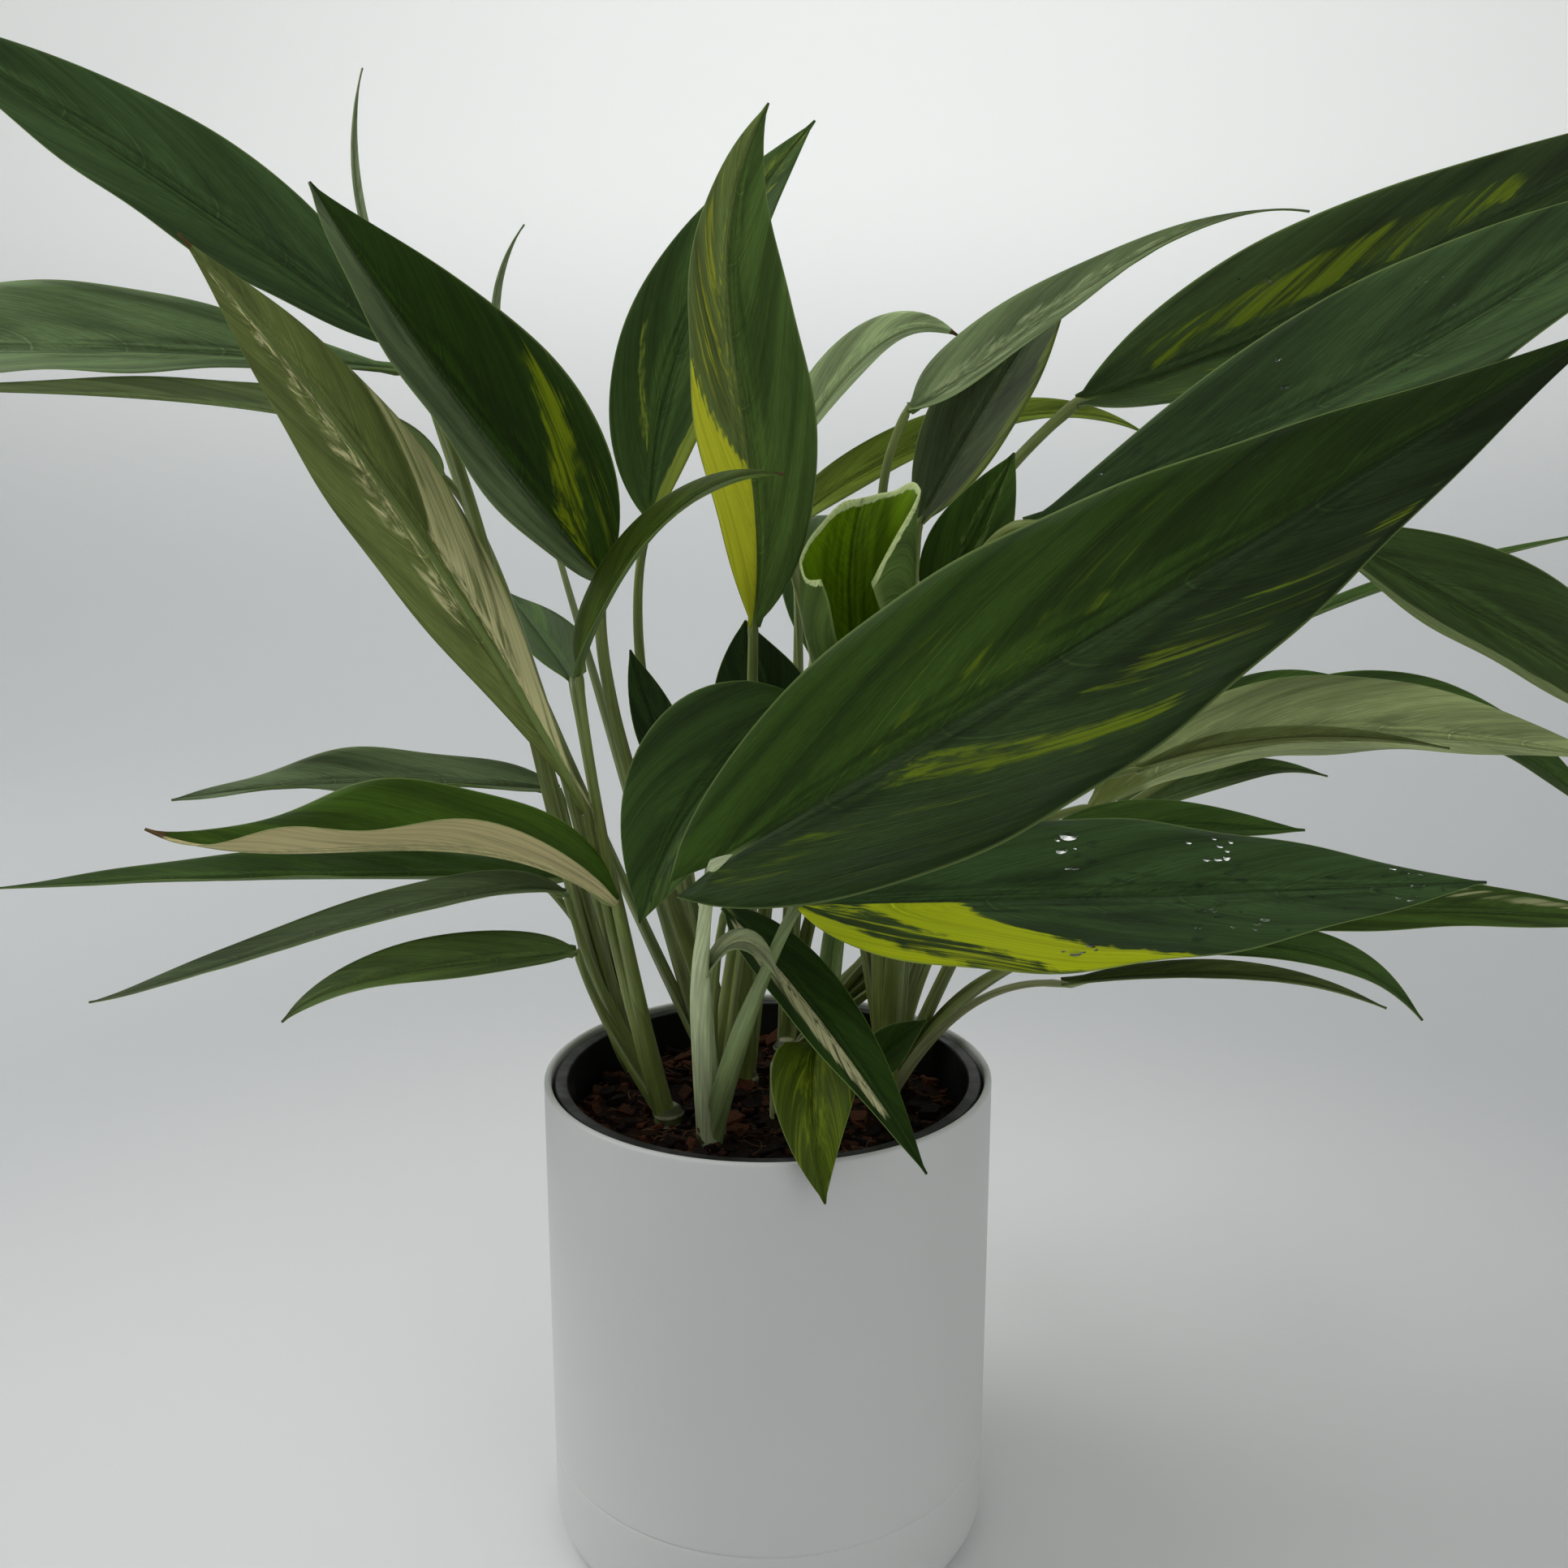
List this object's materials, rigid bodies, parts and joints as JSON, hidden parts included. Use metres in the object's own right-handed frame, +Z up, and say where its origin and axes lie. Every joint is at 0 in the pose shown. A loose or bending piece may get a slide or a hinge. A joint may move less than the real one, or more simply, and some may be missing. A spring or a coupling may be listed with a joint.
{
  "type": "potted pothos",
  "caption": "Variegated long-leaved pothos plant in a black grow pot inside a plain white cylindrical outer pot.",
  "frame": {"origin": "middle of the outer pot's flat bottom, on the surface it stands on", "axes": "+Z up along the pot's axis, -Y towards the picture's viewer, +X to the viewer's right"},
  "size_m": [0.6175, 0.2881, 0.4721],
  "materials": {
    "outer_pot": "satin white",
    "grow_pot": "satin black",
    "soil": "rough bark and coir",
    "leaf": "waxy leaf"
  },
  "bodies": {
    "root": {"outer_pot": "outer_pot", "grow_pot": "grow_pot", "soil": "soil", "cut_stub": "leaf", "leafy_stem_front": "leaf", "leafy_stem_left": "leaf", "leafy_stem_left_back": "leaf", "leafy_stem_centre": "leaf", "leafy_stem_back_left": "leaf", "leafy_stem_front_right": "leaf", "leafy_stem_right": "leaf", "leafy_stem_right_back": "leaf", "leafy_stem_back": "leaf"}
  },
  "joints": []
}
